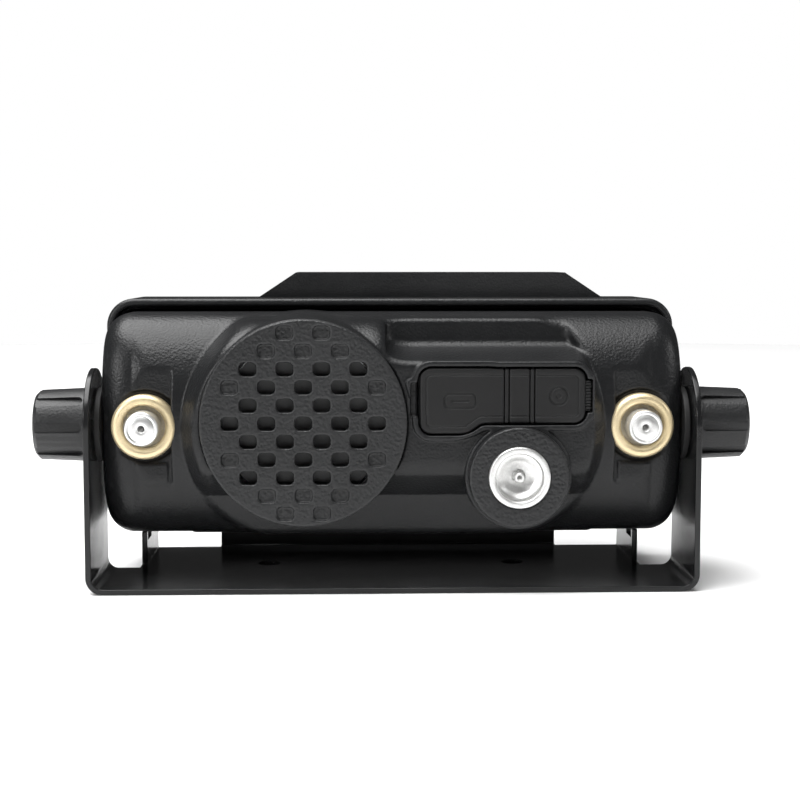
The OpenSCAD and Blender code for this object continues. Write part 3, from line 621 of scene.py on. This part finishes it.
def soften(node, width, segments=2, angle=28, flat=1.0):
    """Turns a CAD node's hard edges into small rounded ones, with modifiers only."""
    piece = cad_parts[node]
    weld = piece.modifiers.new("weld", "WELD")
    weld.merge_threshold = 0.000004
    merge = piece.modifiers.new("merge", "DECIMATE")
    merge.decimate_type = "DISSOLVE"
    merge.angle_limit = math.radians(flat)
    bevel = piece.modifiers.new("bevel", "BEVEL")
    bevel.width = width * MM
    bevel.segments = segments
    bevel.limit_method = "ANGLE"
    bevel.angle_limit = math.radians(angle)
    bevel.use_clamp_overlap = True
    bevel.harden_normals = False
    weighted = piece.modifiers.new("normals", "WEIGHTED_NORMAL")
    weighted.keep_sharp = False
    for polygon in piece.data.polygons:
        polygon.use_smooth = True
    return piece


def place(piece, body, slot, *nodes):
    """Sets what a piece rides on and hides the CAD nodes it stands for; the slot argument is not used."""
    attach(piece, body)
    if nodes:
        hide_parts(*nodes)
    return piece


# ---- Materials -------------------------------------------------------------------------------

def new_material(name):
    material = bpy.data.materials.new(name)
    material.use_nodes = True
    tree = material.node_tree
    return material, tree.nodes, tree.links, tree.nodes["Principled BSDF"]


def noise(nodes, links, coordinates, scale, detail=3.0, roughness=0.55):
    n = nodes.new("ShaderNodeTexNoise")
    n.inputs["Scale"].default_value = scale
    n.inputs["Detail"].default_value = detail
    n.inputs["Roughness"].default_value = roughness
    links.new(coordinates, n.inputs["Vector"])
    return n.outputs["Fac"]


def ramp(nodes, links, value, low_at, high_at, low_value, high_value):
    """value between low_at and high_at mapped to low_value and high_value."""
    n = nodes.new("ShaderNodeMapRange")
    n.inputs["From Min"].default_value = low_at
    n.inputs["From Max"].default_value = high_at
    n.inputs["To Min"].default_value = low_value
    n.inputs["To Max"].default_value = high_value
    links.new(value, n.inputs["Value"])
    return n.outputs["Result"]


def tint(nodes, links, factor, a, b):
    n = nodes.new("ShaderNodeMix")
    n.data_type = "RGBA"
    n.inputs["A"].default_value = (*a, 1)
    n.inputs["B"].default_value = (*b, 1)
    links.new(factor, n.inputs["Factor"])
    return n.outputs["Result"]


def blend_math(nodes, links, operation, a, b):
    n = nodes.new("ShaderNodeMath")
    n.operation = operation
    for value, socket in ((a, n.inputs[0]), (b, n.inputs[1])):
        if isinstance(value, (int, float)):
            socket.default_value = value
        else:
            links.new(value, socket)
    return n.outputs[0]


def surface_material(name, dark, light, rough, grain_mm, grain_depth_mm, wear=0.35, wear_colour=None,
                     metallic=0.0, cells=True, coat=0.0, specular=0.5, scratches=0.0):
    """A moulded, painted or metal finish: uneven tone, fine grain in the bump, paler worn edges."""
    material, nodes, links, shader = new_material(name)
    where = nodes.new("ShaderNodeTexCoord").outputs["Object"]
    cloud = noise(nodes, links, where, 45, 4)
    fine = noise(nodes, links, where, 1 / (grain_mm * MM), 3, 0.6)
    base = tint(nodes, links, ramp(nodes, links, cloud, 0.3, 0.7, 0, 1), dark, light)
    speck = nodes.new("ShaderNodeMix")
    speck.data_type = "RGBA"
    speck.blend_type = "MULTIPLY"
    speck.inputs["Factor"].default_value = 0.35
    links.new(base, speck.inputs["A"])
    shade = ramp(nodes, links, fine, 0.35, 0.65, 0, 1)
    links.new(tint(nodes, links, shade, (0.6, 0.6, 0.6), (1.0, 1.0, 1.0)), speck.inputs["B"])
    edge = nodes.new("ShaderNodeNewGeometry").outputs["Pointiness"]
    worn = ramp(nodes, links, edge, 0.515, 0.56, 0, wear)
    worn = blend_math(nodes, links, "MULTIPLY", worn, ramp(nodes, links, cloud, 0.35, 0.6, 0.4, 1))
    paler = nodes.new("ShaderNodeMix")
    paler.data_type = "RGBA"
    paler.inputs["B"].default_value = (*(wear_colour or [min(1, 2.2 * c + 0.02) for c in light]), 1)
    links.new(worn, paler.inputs["Factor"])
    links.new(speck.outputs["Result"], paler.inputs["A"])
    links.new(paler.outputs["Result"], shader.inputs["Base Color"])
    shader.inputs["Metallic"].default_value = metallic
    shader.inputs["Specular IOR Level"].default_value = specular
    shader.inputs["Coat Weight"].default_value = coat
    shader.inputs["Coat Roughness"].default_value = 0.12
    uneven = noise(nodes, links, where, 160, 4)
    polish = ramp(nodes, links, uneven, 0.3, 0.7, rough * 0.88, min(1, rough * 1.12))
    links.new(polish, shader.inputs["Roughness"])
    height = fine
    if cells:
        pits = nodes.new("ShaderNodeTexVoronoi")
        pits.feature = "SMOOTH_F1"
        pits.inputs["Scale"].default_value = 1 / (grain_mm * 1.6 * MM)
        pits.inputs["Randomness"].default_value = 1
        warped = nodes.new("ShaderNodeVectorMath")
        warped.operation = "ADD"
        links.new(where, warped.inputs[0])
        shift = nodes.new("ShaderNodeVectorMath")
        shift.operation = "SCALE"
        shift.inputs["Scale"].default_value = grain_mm * 0.9 * MM
        wave = nodes.new("ShaderNodeTexNoise")
        wave.inputs["Scale"].default_value = 1 / (grain_mm * 3 * MM)
        links.new(where, wave.inputs["Vector"])
        links.new(wave.outputs["Color"], shift.inputs[0])
        links.new(shift.outputs[0], warped.inputs[1])
        links.new(warped.outputs[0], pits.inputs["Vector"])
        height = blend_math(nodes, links, "ADD",
                            blend_math(nodes, links, "MULTIPLY", pits.outputs["Distance"], 0.9),
                            blend_math(nodes, links, "MULTIPLY", fine, 0.35))
    if scratches:
        lines = nodes.new("ShaderNodeMapping")
        lines.inputs["Scale"].default_value = (30, 900, 900)
        links.new(where, lines.inputs["Vector"])
        streak = noise(nodes, links, lines.outputs[0], 3, 2)
        mark = blend_math(nodes, links, "MULTIPLY", streak, scratches)
        height = blend_math(nodes, links, "ADD", height, mark)
    bump = nodes.new("ShaderNodeBump")
    bump.inputs["Strength"].default_value = 1.0
    bump.inputs["Distance"].default_value = grain_depth_mm * MM
    links.new(height, bump.inputs["Height"])
    links.new(bump.outputs["Normal"], shader.inputs["Normal"])
    return material


def clear_window():
    """Smoked acrylic, unevenly tinted, with faint dust."""
    material, nodes, links, shader = new_material("smoked_window")
    where = nodes.new("ShaderNodeTexCoord").outputs["Object"]
    cloud = noise(nodes, links, where, 60, 4)
    links.new(tint(nodes, links, cloud, (0.18, 0.19, 0.2), (0.24, 0.25, 0.26)), shader.inputs["Base Color"])
    smear = noise(nodes, links, where, 300, 3)
    links.new(ramp(nodes, links, smear, 0.3, 0.7, 0.03, 0.09), shader.inputs["Roughness"])
    shader.inputs["Transmission Weight"].default_value = 0.75
    shader.inputs["IOR"].default_value = 1.49
    return material


MATERIALS = {
    "case_plastic": surface_material("case_plastic", (0.0075, 0.0078, 0.0083), (0.0105, 0.0108, 0.0114),
                                     0.34, 0.26, 0.06, wear=0.2, specular=0.24),
    "front_plastic": surface_material("front_plastic", (0.0080, 0.0083, 0.0088), (0.0115, 0.0118, 0.0124),
                                      0.34, 0.26, 0.05, wear=0.2, specular=0.26),
    "grille_plastic": surface_material("grille_plastic", (0.012, 0.0123, 0.0128), (0.017, 0.0174, 0.018),
                                       0.38, 0.34, 0.12, wear=0.25, specular=0.3),
    "boss_plastic": surface_material("boss_plastic", (0.011, 0.0113, 0.0118), (0.016, 0.0163, 0.017),
                                     0.38, 0.36, 0.14, wear=0.2, specular=0.3),
    "bracket_paint": surface_material("bracket_paint", (0.0050, 0.0051, 0.0054), (0.0075, 0.0077, 0.008),
                                      0.2, 0.3, 0.006, wear=0.2, cells=False, specular=0.28),
    "knob_plastic": surface_material("knob_plastic", (0.010, 0.0102, 0.0106), (0.015, 0.0153, 0.016),
                                     0.42, 0.24, 0.05, wear=0.25, specular=0.32),
    "flap_rubber": surface_material("flap_rubber", (0.0042, 0.0042, 0.0044), (0.006, 0.006, 0.0062),
                                    0.55, 0.14, 0.008, wear=0.12, specular=0.3),
    "black_rubber": surface_material("black_rubber", (0.006, 0.006, 0.006), (0.010, 0.010, 0.010),
                                     0.7, 0.2, 0.01, wear=0.15, specular=0.3),
    "nickel": surface_material("nickel", (0.66, 0.66, 0.65), (0.76, 0.76, 0.75), 0.36, 0.3, 0.002, wear=0.1,
                               wear_colour=(1, 1, 1), metallic=0.85, cells=False, scratches=0.2),
    "steel": surface_material("steel", (0.55, 0.56, 0.57), (0.68, 0.69, 0.70), 0.3, 0.3, 0.003, wear=0.1,
                              wear_colour=(0.8, 0.8, 0.8), metallic=1.0, cells=False, scratches=0.3),
    "brass": surface_material("brass", (0.60, 0.45, 0.2), (0.72, 0.55, 0.27), 0.3, 0.3, 0.003, wear=0.1,
                              wear_colour=(0.85, 0.7, 0.4), metallic=1.0, cells=False, scratches=0.2),
    "gold_ring": surface_material("gold_ring", (0.66, 0.54, 0.32), (0.76, 0.64, 0.42),
                                  0.42, 0.2, 0.003, wear=0.2, wear_colour=(0.9, 0.8, 0.55),
                                  metallic=0.75, cells=False),
    "cast_aluminium": surface_material("cast_aluminium", (0.5, 0.51, 0.52), (0.62, 0.63, 0.64),
                                       0.45, 0.4, 0.02, wear=0.1, wear_colour=(0.8, 0.8, 0.8),
                                       metallic=1.0),
    "circuit_board": surface_material("circuit_board", (0.012, 0.09, 0.035), (0.02, 0.13, 0.05),
                                      0.35, 0.5, 0.004, wear=0.1, cells=False, coat=0.4),
    "cone_film": surface_material("cone_film", (0.02, 0.02, 0.021), (0.035, 0.035, 0.036),
                                  0.5, 0.3, 0.01, wear=0.1),
    "lcd_glass": surface_material("lcd_glass", (0.05, 0.065, 0.07), (0.07, 0.09, 0.095),
                                  0.2, 0.25, 0.001, wear=0.05, cells=False),
    "key_plastic": surface_material("key_plastic", (0.030, 0.031, 0.033), (0.042, 0.043, 0.046),
                                    0.5, 0.15, 0.01, wear=0.3),
    "call_plastic": surface_material("call_plastic", (0.45, 0.10, 0.02), (0.55, 0.14, 0.03),
                                     0.42, 0.15, 0.008, wear=0.25, wear_colour=(0.7, 0.3, 0.12)),
    "lens": surface_material("lens", (0.10, 0.42, 0.14), (0.15, 0.52, 0.2),
                             0.12, 0.3, 0.001, wear=0.05, cells=False, coat=0.6),
    "black_steel": surface_material("black_steel", (0.03, 0.03, 0.032), (0.05, 0.05, 0.052), 0.35, 0.3, 0.004,
                                    wear=0.4, wear_colour=(0.3, 0.3, 0.3), metallic=0.9, cells=False),
    "window": clear_window(),
}


def paint(piece, finish):
    piece.data.materials.clear()
    piece.data.materials.append(MATERIALS[finish])


# ---- Pieces ----------------------------------------------------------------------------------

def inside_box(node, spare=0.4):
    return low(node) - spare, high(node) + spare


rear = smooth_mesh("rear_shell", rear_housing_field, *inside_box("rear_housing", 0.6), (0.34, 0.26, 0.34))
place(rear, "radio", "case_plastic", "rear_housing")
paint(rear, "case_plastic")

front = smooth_mesh("front_shell", front_housing_field, *inside_box("front_housing", 0.6), (0.4, 0.3, 0.4))
place(front, "radio", "case_plastic", "front_housing")
paint(front, "front_plastic")

grille = smooth_mesh("speaker_cover", grille_field, *inside_box("speaker_grille", 0.5), (0.2, 0.16, 0.2))
place(grille, "radio", "grille_plastic", "speaker_grille")
paint(grille, "grille_plastic")

boss = smooth_mesh("power_washer", boss_field, *inside_box("power_boss", 0.3), (0.16, 0.12, 0.16))
place(boss, "radio", "case_plastic", "power_boss")
paint(boss, "boss_plastic")

FLAPS = {
    "usb_flap": ("usb_cover", usb_flap_field),
    "audio_flap": ("audio_cover", audio_flap_field),
    "port_strap": ("cover_strap", strap_field),
}
for node, (name, field) in FLAPS.items():
    low_corner, high_corner = low(node) - (0.7, 0.3, 0.3), high(node) + (1.2, 0.3, 0.3)
    flap = smooth_mesh(name, field, low_corner, high_corner, (0.14, 0.1, 0.14))
    place(flap, "radio" if node == "port_strap" else node, "flap_rubber", node)
    paint(flap, "flap_rubber")

for side in ("left", "right"):
    jack = antenna_jack(side + "_antenna_jack")
    place(jack, "radio", "nickel", side + "_antenna_jack")
    paint(jack, "nickel")
    ring = antenna_ring(side)
    place(ring, "radio", "gold_ring", "antenna_rings")
    paint(ring, "gold_ring")
for piece, node in ((power_shell(), "power_shell"), (power_dish(), "power_insulator"),
                    (power_pin(), "power_pin")):
    place(piece, "radio", "nickel", node)
    paint(piece, "nickel")

CARRIED = {
    "mounting_bracket": ("bracket_paint", 0.22),
    "left_thumb_knob": ("knob_plastic", 0.3),
    "right_thumb_knob": ("knob_plastic", 0.3),
    "display_hood": ("front_plastic", 0.4),
    "display_window": ("window", 0.25),
    "menu_key": ("key_plastic", 0.35),
    "back_key": ("key_plastic", 0.35),
    "up_key": ("key_plastic", 0.35),
    "down_key": ("key_plastic", 0.35),
    "call_key": ("call_plastic", 0.4),
    "volume_knob": ("knob_plastic", 0.3),
    "channel_knob": ("knob_plastic", 0.3),
    "mic_socket": ("steel", 0.2),
    "status_lens": ("lens", 0.3),
    "left_knob_stud": ("steel", 0.1),
    "right_knob_stud": ("steel", 0.1),
    "side_washers": ("black_rubber", 0.2),
    "side_inserts": ("brass", 0.1),
    "housing_gasket": ("black_rubber", 0.0),
    "lcd_module": ("lcd_glass", 0.2),
    "speaker_gasket": ("black_rubber", 0.1),
    "speaker_basket": ("steel", 0.15),
    "speaker_cone": ("cone_film", 0.1),
    "usb_socket": ("steel", 0.1),
    "audio_socket": ("black_rubber", 0.1),
    "antenna_nuts": ("nickel", 0.15),
    "main_board": ("circuit_board", 0.1),
    "rf_shield": ("steel", 0.1),
    "chassis_plate": ("cast_aluminium", 0.2),
    "key_board": ("circuit_board", 0.1),
    "volume_shaft": ("steel", 0.15),
    "volume_encoder": ("steel", 0.15),
    "channel_shaft": ("steel", 0.15),
    "channel_encoder": ("steel", 0.15),
    "case_screws": ("black_steel", 0.1),
    "board_screws": ("steel", 0.1),
}
for node, (finish, width) in CARRIED.items():
    if width:
        soften(node, width)
    paint(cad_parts[node], finish)


# ---- Stage -----------------------------------------------------------------------------------

def stage_floor():
    """Pale round floor under the object."""
    mesh = bpy.data.meshes.new("floor")
    builder = bmesh.new()
    bmesh.ops.create_circle(builder, cap_ends=True, segments=96, radius=0.9)
    for vertex in builder.verts:
        vertex.co.z = -0.00002
    builder.to_mesh(mesh)
    builder.free()
    floor = bpy.data.objects.new("floor", mesh)
    bpy.context.scene.collection.objects.link(floor)
    material, nodes, links, shader = new_material("pale_floor")
    where = nodes.new("ShaderNodeTexCoord").outputs["Object"]
    links.new(tint(nodes, links, noise(nodes, links, where, 3), (0.90, 0.90, 0.90), (0.93, 0.93, 0.93)),
              shader.inputs["Base Color"])
    shader.inputs["Roughness"].default_value = 0.55
    mesh.materials.append(material)


def area_light(name, place_at, aim, size, power, size_y=None):
    light = bpy.data.lights.new(name, "AREA")
    light.shape = "RECTANGLE"
    light.size = size
    light.size_y = size_y or size
    light.energy = power
    lamp = bpy.data.objects.new(name, light)
    lamp.location = place_at
    direction = Vector(aim) - Vector(place_at)
    lamp.rotation_euler = direction.to_track_quat("-Z", "Y").to_euler()
    bpy.context.scene.collection.objects.link(lamp)


def studio():
    world = bpy.data.worlds.new("studio")
    world.use_nodes = True
    nodes, links = world.node_tree.nodes, world.node_tree.links
    background = nodes["Background"]
    background.inputs["Color"].default_value = (1, 1, 1, 1)
    seen = nodes.new("ShaderNodeLightPath")
    strength = nodes.new("ShaderNodeMapRange")
    strength.inputs["To Min"].default_value = 0.05
    strength.inputs["To Max"].default_value = 1.0
    links.new(seen.outputs["Is Camera Ray"], strength.inputs["Value"])
    links.new(strength.outputs["Result"], background.inputs["Strength"])
    bpy.context.scene.world = world
    sun = bpy.data.lights.new("sun", "SUN")
    sun.energy = 2.9
    sun.angle = math.radians(60)
    lamp = bpy.data.objects.new("sun", sun)
    lamp.rotation_euler = (math.radians(6), math.radians(-10), 0)
    bpy.context.scene.collection.objects.link(lamp)
    area_light("top", (-0.2, -0.1, 0.7), (0, -0.02, 0.03), 0.9, 9, 0.5)
    area_light("left", (-0.6, -0.5, 0.3), (0, 0, 0.03), 0.16, 2.2)
    area_light("right", (0.75, -0.2, 0.35), (0, 0, 0.03), 0.25, 1.2)


def camera():
    """A camera at the photograph's viewing angle: slightly above and left of the middle, looking along +Y."""
    pitch, yaw = 0.0885, 0.0323
    lens = bpy.data.cameras.new("camera")
    lens.sensor_width = 36
    lens.lens = 70.1
    lens.clip_start = 0.01
    eye = bpy.data.objects.new("camera", lens)
    eye.location = (-0.00819, -0.30708, 0.06154)
    eye.rotation_euler = (math.pi / 2 - pitch, 0, -yaw)
    bpy.context.scene.collection.objects.link(eye)
    bpy.context.scene.camera = eye


stage_floor()
studio()
camera()
bpy.context.scene.view_settings.view_transform = "Standard"
